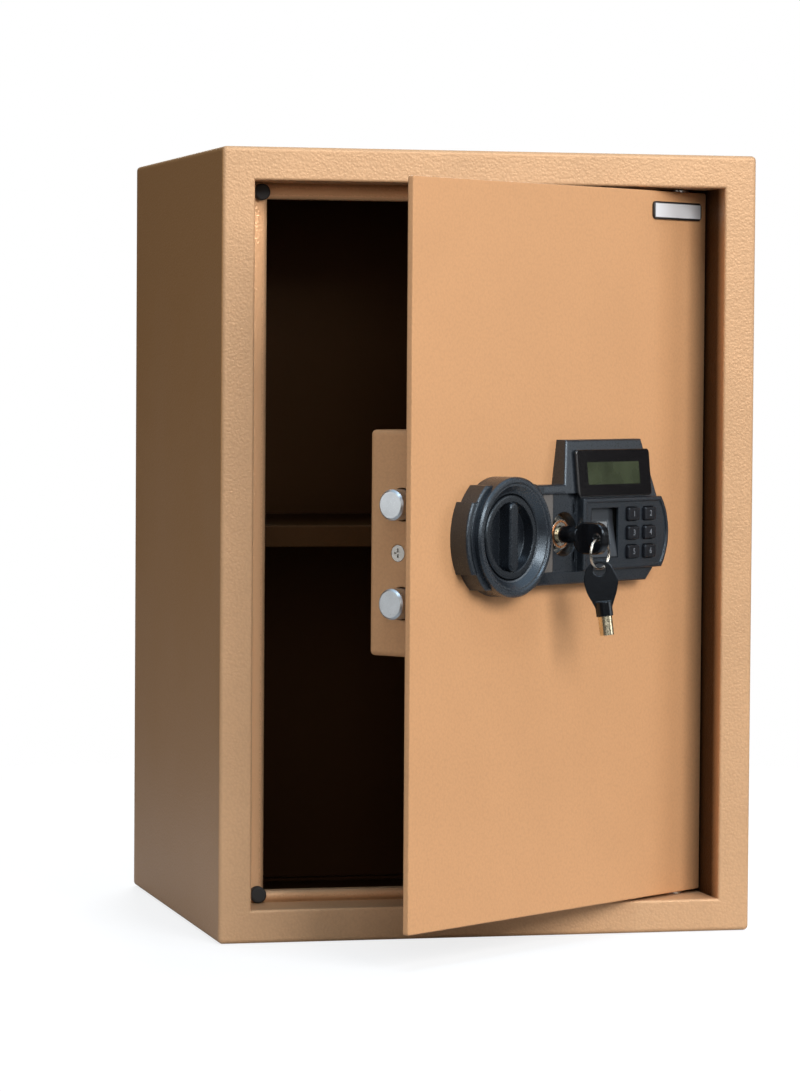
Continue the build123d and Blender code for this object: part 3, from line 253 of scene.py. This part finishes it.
def inner_coat(look):
    """1 where painted shade darkens the cabinet: inside the walls, behind the folded lip, and in the hinge
    pocket.
    """
    x, y, z = look.axes()
    walls = look.maths("MULTIPLY", look.band(x, *INNER_SHADE_X), look.band(z, *INNER_SHADE_Z))
    deep = look.maths("MULTIPLY", walls, look.band(y, *INNER_SHADE_Y, soft=0.0005))
    pocket = look.maths("MULTIPLY", look.band(x, *POCKET_X), look.band(z, *POCKET_Z))
    pocket = look.maths("MULTIPLY", pocket, look.spread(y, *POCKET_FRONT))
    pocket = look.maths("MULTIPLY", pocket, look.spread(y, *POCKET_BACK))
    return look.maths("MAXIMUM", deep, pocket)


def top_face(look):
    """1 on the cabinet's top, which lies dusty and dull, 0 elsewhere."""
    _, _, z = look.axes()
    return look.spread(z, *TOP_FACE_Z)


def left_side(look):
    """1 on the cabinet's left outer side, 0 elsewhere."""
    x, _, _ = look.axes()
    return look.spread(x, *LEFT_FACE_X)


def side_tint(look):
    """Painted light on the left side: a painted reflection, lighter near the foot, and painted shade,
    deeper and browner near the top.
    """
    _, _, z = look.axes()
    height = look.maths("ADD", z, look.spread(look.noise(0.09, 2.0), 0.3, 0.7, -0.04, 0.04))
    return look.blend(look.spread(height, 0.05, 0.40), SIDE_LOW_PAINTED_REFLECTION, SIDE_HIGH_PAINTED_SHADE)


def rolled(look, across, low, high):
    """Height of a lip rolled to a round front between two limits, and 0 outside them."""
    middle, half = (low + high) / 2, (high - low) / 2
    place = look.maths("DIVIDE", look.maths("SUBTRACT", across, middle), half)
    round_front = look.maths("SUBTRACT", 1.0, look.maths("MULTIPLY", place, place))
    return look.maths("MULTIPLY", look.maths("MAXIMUM", round_front, 0.0), half * LIP_ROUNDNESS)


def lips(look):
    """Heights of the three rolled lips that the door shuts against."""
    x, y, z = look.axes()
    upright = look.maths("MAXIMUM", rolled(look, z, *TOP_LIP_Z), rolled(look, z, *FOOT_LIP_Z))
    height = look.maths("MAXIMUM", upright, rolled(look, x, *LEFT_LIP_X))
    inside = look.maths("MULTIPLY", look.band(x, *LIPS_X), look.band(z, *LIPS_Z))
    return look.maths("MULTIPLY", height, look.maths("MULTIPLY", inside, look.band(y, *LIPS_Y)))


def hammered_paint(name, colour, on_door, grain, depth, cloudy, lined=False):
    """Champagne powder coating: pebbled surface, faint clouds, darker hollows, rubbed edges; when lined,
    also painted shade inside, painted light on the left side and painted highlights on the lips.
    """
    look = Look(name, on_door)
    pebbles = look.cells(grain)
    fine = look.noise(grain * 0.5, 2.0)
    clouds = look.noise(0.05, 3.0)
    cloud_share = look.spread(clouds, 0.3, 0.7)
    tint = look.blend(cloud_share, shade(colour, 1.0 - cloudy), shade(colour, 1.0 + cloudy))
    hollows = look.spread(pebbles, 0.25, 0.75)
    tint = look.blend(look.maths("MULTIPLY", hollows, 0.25), tint, shade(colour, 0.72))
    edges = look.edges(0.0012)
    worn = look.maths("MULTIPLY", edges, look.spread(fine, 0.35, 0.65))
    tint = look.blend(look.maths("MULTIPLY", edges, 0.25), tint, shade(colour, 0.60))
    tint = look.blend(look.maths("MULTIPLY", worn, 0.45), tint, shade(colour, 1.45))
    rough = look.spread(fine, 0.3, 0.7, 0.38, 0.50)
    look.set(Metallic=0.12, Specular_Tint=WARM_GLOSS, Specular_IOR_Level=0.40)
    look.soften(0.0012)
    if lined:
        # painted light on the left outer side: painted shade near the top, a painted reflection near the
        # foot
        tint = look.blend(left_side(look), tint, side_tint(look))
        # painted shade inside the cabinet and in the hinge pocket, dark brown laid over the paint
        inner_shade = inner_coat(look)
        tint = look.blend(inner_shade, tint, INNER_PAINTED_SHADE)
        dull = look.maths("MAXIMUM", inner_shade, top_face(look))
        look.set(Specular_IOR_Level=look.spread(dull, 0.0, 1.0, 0.55, 0.12))
        rough = look.maths("ADD", rough, look.maths("MULTIPLY", top_face(look), 0.25))
        lip = lips(look)
        # painted highlight along the middle of each rolled lip: paint lighter and glossier there
        crest_highlight = look.spread(lip, *LIP_CREST)
        tint = look.blend(look.maths("MULTIPLY", crest_highlight, 0.85), tint, shade(colour, 1.65))
        rough = look.maths("MULTIPLY", rough, look.spread(crest_highlight, 0.0, 1.0, 1.0, 0.50))
        look.bump(lip, 1.0)
    look.colour(tint)
    look.set(Roughness=rough)
    height = look.maths("ADD", look.maths("MULTIPLY", pebbles, -1.0), look.maths("MULTIPLY", fine, 0.5))
    look.bump(height, depth, 0.8)
    return look.material


def key_recess_strip(look):
    """1 on the upright strip of bare plastic to the left of the key lock."""
    x, y, z = look.axes()
    across = look.maths("MULTIPLY", look.band(x, *KEY_STRIP_X), look.band(z, *KEY_STRIP_Z))
    low, high = KEY_STRIP_HEIGHT
    return look.maths("MULTIPLY", across, look.band(y, FACE_Y - high, FACE_Y - low))


def moulded_plastic(name, colour, rough, on_door=True, grain=0.0007, glossy=0.5, strip=None):
    """Moulded plastic with a fine grain, faint flow clouds and lighter edges."""
    look = Look(name, on_door)
    fine = look.noise(grain, 2.0)
    clouds = look.noise(0.018, 3.0)
    tint = look.blend(look.spread(clouds, 0.3, 0.7), shade(colour, 0.85), shade(colour, 1.15))
    worn = look.maths("MULTIPLY", look.edges(0.0010), look.spread(clouds, 0.2, 0.6))
    tint = look.blend(look.maths("MULTIPLY", worn, 0.35), tint, shade(colour, 2.6))
    if strip is not None:
        tint = look.blend(key_recess_strip(look), tint, strip)
    look.colour(tint)
    look.set(Roughness=look.spread(fine, 0.3, 0.7, rough - 0.02, rough + 0.05), Specular_IOR_Level=glossy)
    look.set(Specular_Tint=COOL_GLOSS)
    look.soften(0.0010)
    look.bump(fine, 0.000010, 0.6)
    return look.material


def worked_metal(name, colour, rough, stretch=(1, 1, 1), grain=0.0006, depth=0.00002):
    """Metal with fine tooling streaks, uneven polish and bright rubbed edges."""
    look = Look(name, True)
    streaks = look.noise(grain, 4.0, stretch)
    clouds = look.noise(0.012, 3.0)
    tint = look.blend(look.spread(clouds, 0.3, 0.7), shade(colour, 0.80), colour)
    tint = look.blend(look.maths("MULTIPLY", look.edges(0.0006), 0.6), tint, shade(colour, 1.2))
    look.colour(tint)
    look.set(Roughness=look.spread(streaks, 0.3, 0.7, rough - 0.08, rough + 0.10), Metallic=1.0)
    look.soften(0.0003)
    look.bump(streaks, depth, 0.5)
    return look.material


def rubber_look(name, colour=(0.012, 0.012, 0.012)):
    """Matt rubber or tape with a fine grain."""
    look = Look(name)
    fine = look.noise(0.0005, 3.0)
    look.colour(look.blend(look.spread(fine, 0.3, 0.7), colour, shade(colour, 2.2)))
    look.set(Roughness=look.spread(fine, 0.3, 0.7, 0.55, 0.75))
    look.bump(fine, 0.00005, 0.5)
    return look.material


def window_look():
    """Glossy black window, with the display's dull green painted on where the display lies behind it."""
    look = Look("window_black", True)
    x, _, z = look.axes()
    glass = look.maths("MULTIPLY", look.band(x, *WINDOW_X), look.band(z, *WINDOW_Z))
    dust = look.noise(0.0008, 4.0)
    uneven = look.spread(look.noise(0.02, 2.0), 0.3, 0.7)
    lcd = look.blend(uneven, (0.026, 0.032, 0.017), (0.046, 0.056, 0.030))
    look.colour(look.blend(glass, (0.004, 0.004, 0.005), lcd))
    look.set(Roughness=look.spread(dust, 0.4, 0.8, 0.08, 0.18), Coat_Weight=0.5, Coat_Roughness=0.05)
    look.soften(0.0006)
    look.bump(dust, 0.000006, 0.5)
    return look.material


def circuit_board():
    """Green board with lighter copper tracks and solder dots."""
    look = Look("board_green", True)
    tracks = look.node("ShaderNodeTexBrick", offset=0.3, squash=1.0)
    tracks.inputs["Scale"].default_value = 150.0
    tracks.inputs["Mortar Size"].default_value = 0.06
    flat = look.node("ShaderNodeVectorRotate", rotation_type="X_AXIS")
    flat.inputs["Angle"].default_value = math.radians(90)
    look.link(look.place, flat.inputs["Vector"])
    look.link(flat.outputs[0], tracks.inputs["Vector"])
    dots = look.spread(look.cells(0.0028, "F1"), 0.16, 0.12)
    base = look.blend(tracks.outputs["Fac"], (0.012, 0.090, 0.030), (0.035, 0.180, 0.060))
    look.colour(look.blend(dots, base, (0.55, 0.55, 0.52)))
    look.set(Roughness=0.35, Metallic=look.maths("MULTIPLY", dots, 0.9), Coat_Weight=0.4)
    look.bump(dots, 0.0002, 0.6)
    return look.material


def cell_wrap():
    """Battery sleeves: black with a copper-coloured band near the top."""
    look = Look("cell_wrap", True)
    _, _, z = look.axes()
    band = look.band(z, *SLEEVE_BAND_Z)
    cap = look.band(z, *CELL_CAP_Z)
    scuffs = look.noise(0.002, 4.0, (1, 1, 0.2))
    tint = look.blend(band, (0.010, 0.010, 0.011), (0.45, 0.19, 0.06))
    tint = look.blend(cap, tint, (0.65, 0.64, 0.60))
    look.colour(tint)
    look.set(Roughness=look.spread(scuffs, 0.4, 0.7, 0.18, 0.35), Metallic=cap)
    look.bump(scuffs, 0.00002, 0.4)
    return look.material


def wire_look():
    """Insulation that changes between red and black from one stretch to the next."""
    look = Look("wire_sleeve", True)
    shades = look.spread(look.noise(0.006, 1.0), 0.48, 0.52)
    look.colour(look.blend(shades, (0.30, 0.010, 0.008), (0.012, 0.012, 0.012)))
    look.set(Roughness=look.spread(look.noise(0.001), 0.3, 0.7, 0.35, 0.5))
    look.bump(look.noise(0.0008), 0.00003, 0.4)
    return look.material


def plate_look():
    """Plain plate: dark edge around a bright brushed face."""
    look = Look("name_plate", True)
    x, _, z = look.axes()
    face = look.maths("MULTIPLY", look.band(x, *PLATE_FACE_X), look.band(z, *PLATE_FACE_Z))
    streaks = look.noise(0.0009, 4.0, (0.1, 1, 1))
    look.colour(look.blend(face, (0.010, 0.010, 0.011), (0.80, 0.81, 0.83)))
    look.set(Metallic=look.maths("MULTIPLY", face, 0.35), Coat_Weight=0.3,
             Roughness=look.spread(streaks, 0.3, 0.7, 0.30, 0.45))
    look.soften(0.0004)
    look.bump(streaks, 0.00002, 0.5)
    return look.material


CHARCOAL = (0.0105, 0.0125, 0.0160)

looks = {
    "frame": hammered_paint("frame_paint", FRAME_PAINT, False, 0.0016, 0.00021, 0.05, lined=True),
    "door": hammered_paint("door_paint", DOOR_PAINT, True, 0.0016, 0.00007, 0.02),
    "housing": moulded_plastic("housing_plastic", CHARCOAL, 0.28, glossy=0.85, strip=(0.115, 0.100, 0.088)),
    "surround": moulded_plastic("surround_plastic", shade(CHARCOAL, 1.20), 0.26, glossy=1.0),
    "knob": moulded_plastic("knob_plastic", shade(CHARCOAL, 0.70), 0.24, glossy=0.60),
    "caps": moulded_plastic("key_cap_plastic", (0.010, 0.010, 0.012), 0.22),
    "cradle": moulded_plastic("finger_guide_plastic", (0.026, 0.028, 0.032), 0.30, glossy=0.8),
    "sensor": moulded_plastic("sensor_face", (0.240, 0.250, 0.260), 0.15),
    "key_head": moulded_plastic("key_head_plastic", (0.005, 0.005, 0.006), 0.16),
    "window": window_look(),
    "display": moulded_plastic("display_back", (0.050, 0.060, 0.035), 0.35),
    "bright": worked_metal("bright_steel", (0.66, 0.70, 0.73), 0.34, (0.15, 1, 1), 0.0005, 0.000005),
    "zinc": worked_metal("zinc_steel", (0.58, 0.56, 0.52), 0.36),
    "nickel": worked_metal("nickel_plate", (0.72, 0.68, 0.60), 0.20),
    "key_tube": worked_metal("key_tube_nickel", (0.80, 0.72, 0.52), 0.24, (1, 1, 0.2)),
    "copper": worked_metal("copper_ring", (0.70, 0.30, 0.13), 0.28),
    "brass": worked_metal("turned_brass", (0.70, 0.50, 0.18), 0.30),
    "rubber": rubber_look("black_rubber"),
    "coil": rubber_look("coil_tape", (0.030, 0.028, 0.012)),
    "board": circuit_board(),
    "cells": cell_wrap(),
    "wires": wire_look(),
    "plate": plate_look(),
    "tray": moulded_plastic("tray_plastic", (0.012, 0.012, 0.013), 0.45),
}

node_looks = {
    "frame": ("cabinet_shell", "back_panel", "shelf_supports", "shelf"),
    "door": ("door_plate", "hinge_brackets", "lock_box"),
    "housing": ("lock_housing",),
    "surround": ("knob_surround",),
    "knob": ("knob",),
    "cradle": ("fingerprint_cradle",),
    "sensor": ("fingerprint_sensor",),
    "key_head": ("key_head", "spare_key_head"),
    "window": ("display_window",),
    "display": ("lcd_module",),
    "bright": ("hinge_pins", "locking_bolt_upper", "locking_bolt_lower", "plunger_spring",
               "solenoid_plunger"),
    "zinc": ("hinge_plates", "hinge_washers", "guide_studs", "solenoid_bracket", "cylinder_nut",
             "cover_brackets", "cover_screws", "spindle", "drive_cam", "bolt_carriage", "lock_cam",
             "cam_screw"),
    "nickel": ("lock_cylinder", "lock_plug", "split_ring", "battery_contacts"),
    "key_tube": ("key_tube", "spare_key_tube"),
    "copper": ("cylinder_ring",),
    "brass": ("spindle_bush", "board_standoffs"),
    "rubber": ("rubber_bumpers", "keypad_mat", "cable_grommet"),
    "coil": ("solenoid_body",),
    "board": ("keypad_board", "control_board"),
    "cells": ("batteries",),
    "wires": ("wiring",),
    "plate": ("name_plate",),
    "tray": ("battery_tray", "battery_cover"),
    "caps": tuple(f"key_button_{number}" for number in range(1, 7)),
}


def dress(node, look):
    """Give a CAD node its material on every face."""
    mesh = frame["nodes"][node].data
    mesh.materials.clear()
    mesh.materials.append(looks[look])


for look_name, nodes in node_looks.items():
    for node_name in nodes:
        dress(node_name, look_name)

# ====================================================================================
# Pieces made here
# ====================================================================================

def add_piece(name, mesh, look, body, smooth=True):
    """Add a mesh as a visible piece that rides on a body and takes a material slot's name."""
    piece = bpy.data.objects.new(name, mesh)
    bpy.context.scene.collection.objects.link(piece)
    mesh.materials.clear()
    mesh.materials.append(looks[look])
    if smooth:
        for polygon in mesh.polygons:
            polygon.use_smooth = True
    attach(piece, body)
    return piece


def numeral(number, x, z):
    """Raised printed numeral on a key cap, as a thin mesh."""
    text = bpy.data.curves.new(f"numeral_{number}_curve", "FONT")
    text.body = str(number)
    text.size = NUMERAL_SIZE
    text.align_x = "CENTER"
    text.align_y = "CENTER"
    text.extrude = NUMERAL_DEPTH
    text.resolution_u = 4
    holder = bpy.data.objects.new("numeral_holder", text)
    bpy.context.scene.collection.objects.link(holder)
    bpy.context.view_layer.update()
    mesh = bpy.data.meshes.new_from_object(holder)
    bpy.data.objects.remove(holder)
    upright = Matrix.Rotation(math.radians(90), 4, "X")
    place = Matrix.Translation(Vector((x, FACE_Y - BUTTON_TOP - NUMERAL_LIFT, z)))
    mesh.transform(TO_REST @ place @ upright)
    add_piece(f"numeral_{number}", mesh, "print", f"button_{number}", smooth=False)


def print_look():
    """Light grey printing ink with slightly uneven cover."""
    look = Look("numeral_print", True)
    cover = look.noise(0.0006, 3.0)
    look.colour(look.blend(look.spread(cover, 0.3, 0.7), (0.12, 0.13, 0.14), (0.20, 0.21, 0.23)))
    look.set(Roughness=look.spread(cover, 0.3, 0.7, 0.4, 0.6))
    return look.material


looks["print"] = print_look()

for row, button_z in enumerate(BUTTON_Z):
    for column, button_x in enumerate(BUTTON_X):
        numeral(2 * row + column + 1, button_x, button_z)


def tube_mesh(name, points, radius, sides=14):
    """Closed tube of mesh around a run of points."""
    made = bmesh.new()
    rings = []
    normal = None
    for index, point in enumerate(points):
        before = points[max(index - 1, 0)]
        after = points[min(index + 1, len(points) - 1)]
        along = (after - before).normalized()
        if normal is None:
            normal = along.orthogonal().normalized()
        normal = (normal - along * normal.dot(along)).normalized()
        side = along.cross(normal)
        ring = []
        for step in range(sides):
            angle = 2 * math.pi * step / sides
            outward = math.cos(angle) * normal + math.sin(angle) * side
            ring.append(made.verts.new(point + radius * outward))
        rings.append(ring)
    for first, second in zip(rings, rings[1:]):
        for step in range(sides):
            after = (step + 1) % sides
            made.faces.new((first[step], first[after], second[after], second[step]))
    made.faces.new(reversed(rings[0]))
    made.faces.new(rings[-1])
    bmesh.ops.recalc_face_normals(made, faces=made.faces)
    mesh = bpy.data.meshes.new(name)
    made.to_mesh(mesh)
    made.free()
    return mesh


def split_ring():
    """Key ring wound in two touching turns of round wire."""
    points = []
    for index in range(RING_STEPS + 1):
        share = index / RING_STEPS
        angle = math.pi / 2 + 2 * math.pi * RING_TURNS * share
        offset = RING_WIRE * 1.04 * max(-1.0, min(1.0, (share - 0.5) * 6.0))
        points.append(door_point(
            RING_CENTRE[0] + RING_RADIUS * math.cos(angle), RING_CENTRE[1] + offset,
            RING_CENTRE[2] + RING_RADIUS * math.sin(angle)))
    coil = tube_mesh("split_ring_coil", points, RING_WIRE)
    piece = add_piece("split_ring_coil", coil, "nickel", "key_ring")
    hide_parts("split_ring")


split_ring()

# ====================================================================================
# Floor, light and camera
# ====================================================================================

FLOOR_BOUNCE = (0.42, 0.42, 0.42)
FLOOR_GLOW = 0.78
FLOOR_RADIUS = 1.1
FLOOR_DROP = 0.0004
FLOOR_FADE = (0.30, 1.05)
COVERED_X = (-0.168, 0.168)
COVERED_Y = (-0.142, 0.142)


def floor_look():
    """Pale paper, self-lit to the camera except under the cabinet, fading into white surroundings."""
    look = Look("pale_floor")
    paper = look.noise(0.004, 4.0)
    path = look.node("ShaderNodeLightPath")
    x, y, _ = look.axes()
    covered = look.maths("MULTIPLY", look.band(x, *COVERED_X), look.band(y, *COVERED_Y))
    open_floor = look.spread(covered, 0.0, 1.0, FLOOR_GLOW, 0.0)
    glow = look.maths("MULTIPLY", path.outputs["Is Camera Ray"], open_floor)
    seen = look.blend(look.spread(paper, 0.3, 0.7), (0.84, 0.84, 0.84), (0.90, 0.90, 0.90))
    dimmed = look.blend(0.75, seen, (0.0, 0.0, 0.0))
    look.colour(look.blend(path.outputs["Is Camera Ray"], FLOOR_BOUNCE, dimmed))
    look.set(Roughness=0.8, Specular_IOR_Level=0.2, Emission_Color=(1.0, 1.0, 1.0, 1.0),
             Emission_Strength=glow)
    look.bump(paper, 0.00005, 0.3)
    length = look.node("ShaderNodeVectorMath", operation="LENGTH")
    look.link(look.place, length.inputs[0])
    fade = look.spread(length.outputs["Value"], *FLOOR_FADE)
    clear = look.node("ShaderNodeBsdfTransparent")
    mixed = look.node("ShaderNodeMixShader")
    look.link(fade, mixed.inputs[0])
    look.link(look.shader.outputs[0], mixed.inputs[1])
    look.link(clear.outputs[0], mixed.inputs[2])
    look.link(mixed.outputs[0], look.tree.nodes["Material Output"].inputs["Surface"])
    return look.material


def floor():
    """Round sheet of paper just under the cabinet."""
    made = bmesh.new()
    bmesh.ops.create_circle(made, cap_ends=True, segments=96, radius=FLOOR_RADIUS)
    mesh = bpy.data.meshes.new("floor")
    made.to_mesh(mesh)
    made.free()
    mesh.materials.append(floor_look())
    disc = bpy.data.objects.new("floor", mesh)
    disc.location.z = -FLOOR_DROP
    bpy.context.scene.collection.objects.link(disc)


floor()

WORLD_SEEN = (1.0, 1.0, 1.0)
WORLD_LOW = (0.042, 0.034, 0.028)
WORLD_HIGH = (0.70, 0.88, 1.05)
SKY_RISE = (0.45, 0.95)


def surroundings():
    """White to the camera; as a source of light, dim all round and a soft cool sky above."""
    world = bpy.data.worlds.new("surroundings")
    world.use_nodes = True
    bpy.context.scene.world = world
    tree = world.node_tree
    back = tree.nodes["Background"]
    place = tree.nodes.new("ShaderNodeTexCoord")
    parts = tree.nodes.new("ShaderNodeSeparateXYZ")
    rise = tree.nodes.new("ShaderNodeMapRange")
    rise.interpolation_type = "SMOOTHSTEP"
    rise.inputs["From Min"].default_value, rise.inputs["From Max"].default_value = SKY_RISE
    sky = tree.nodes.new("ShaderNodeMix")
    sky.data_type = "RGBA"
    sky.inputs[6].default_value = (*WORLD_LOW, 1.0)
    sky.inputs[7].default_value = (*WORLD_HIGH, 1.0)
    path = tree.nodes.new("ShaderNodeLightPath")
    seen = tree.nodes.new("ShaderNodeMix")
    seen.data_type = "RGBA"
    seen.inputs[7].default_value = (*WORLD_SEEN, 1.0)
    tree.links.new(place.outputs["Generated"], parts.inputs[0])
    tree.links.new(parts.outputs["Z"], rise.inputs["Value"])
    tree.links.new(rise.outputs["Result"], sky.inputs["Factor"])
    tree.links.new(sky.outputs[2], seen.inputs[6])
    tree.links.new(path.outputs["Is Camera Ray"], seen.inputs["Factor"])
    tree.links.new(seen.outputs[2], back.inputs["Color"])


surroundings()


COOL_LIGHT = (0.70, 0.85, 1.0)


def soft_box(name, place, target, width, height, power, colour=(1.0, 1.0, 1.0)):
    """Rectangular lamp at a place, facing a target."""
    lamp = bpy.data.lights.new(name, "AREA")
    lamp.color = colour
    lamp.shape = "RECTANGLE"
    lamp.size = width
    lamp.size_y = height
    lamp.energy = power
    holder = bpy.data.objects.new(name, lamp)
    holder.location = place
    holder.rotation_euler = (Vector(target) - Vector(place)).to_track_quat("-Z", "Y").to_euler()
    bpy.context.scene.collection.objects.link(holder)


soft_box("key_light", (1.05, -2.7, 1.55), (0, -0.1, 0.28), 1.7, 1.3, 85)
soft_box("fill_light", (-0.7, -3.0, 0.9), (0, -0.1, 0.25), 1.2, 1.2, 12)
soft_box("right_light", (2.45, -0.9, 0.85), (0, -0.2, 0.25), 1.3, 1.3, 12)
soft_box("left_light", (-2.6, -0.5, 0.7), (-0.1, -0.1, 0.25), 1.0, 1.0, 10)
soft_box("back_light", (0.9, 2.9, 1.3), (0, 0.1, 0.25), 1.5, 1.5, 45)
soft_box("top_light", (-0.2, -1.2, 2.2), (0, -0.2, 0.3), 0.7, 0.7, 13, COOL_LIGHT)

CAMERA_PLACE = Vector((-0.6850, -2.6855, 0.3657))
CAMERA_YAW = math.radians(13.859)
CAMERA_PITCH = math.radians(-2.529)
CAMERA_ROLL = math.radians(0.408)
CAMERA_LENS = 136.5


def camera():
    """Camera on the left, a little above the object's middle, looking slightly down."""
    lens = bpy.data.cameras.new("camera")
    lens.lens = CAMERA_LENS
    lens.sensor_width = 36.0
    lens.clip_end = 50.0
    forward = Vector((
        math.sin(CAMERA_YAW) * math.cos(CAMERA_PITCH),
        math.cos(CAMERA_YAW) * math.cos(CAMERA_PITCH),
        math.sin(CAMERA_PITCH)))
    right = Vector((math.cos(CAMERA_YAW), -math.sin(CAMERA_YAW), 0.0))
    up = right.cross(forward)
    turned_right = right * math.cos(CAMERA_ROLL) + up * math.sin(CAMERA_ROLL)
    turned_up = up * math.cos(CAMERA_ROLL) - right * math.sin(CAMERA_ROLL)
    turn = Matrix((turned_right, turned_up, -forward)).transposed().to_4x4()
    holder = bpy.data.objects.new("camera", lens)
    holder.matrix_world = Matrix.Translation(CAMERA_PLACE) @ turn
    bpy.context.scene.collection.objects.link(holder)
    bpy.context.scene.camera = holder


camera()
bpy.context.scene.view_settings.view_transform = "Standard"
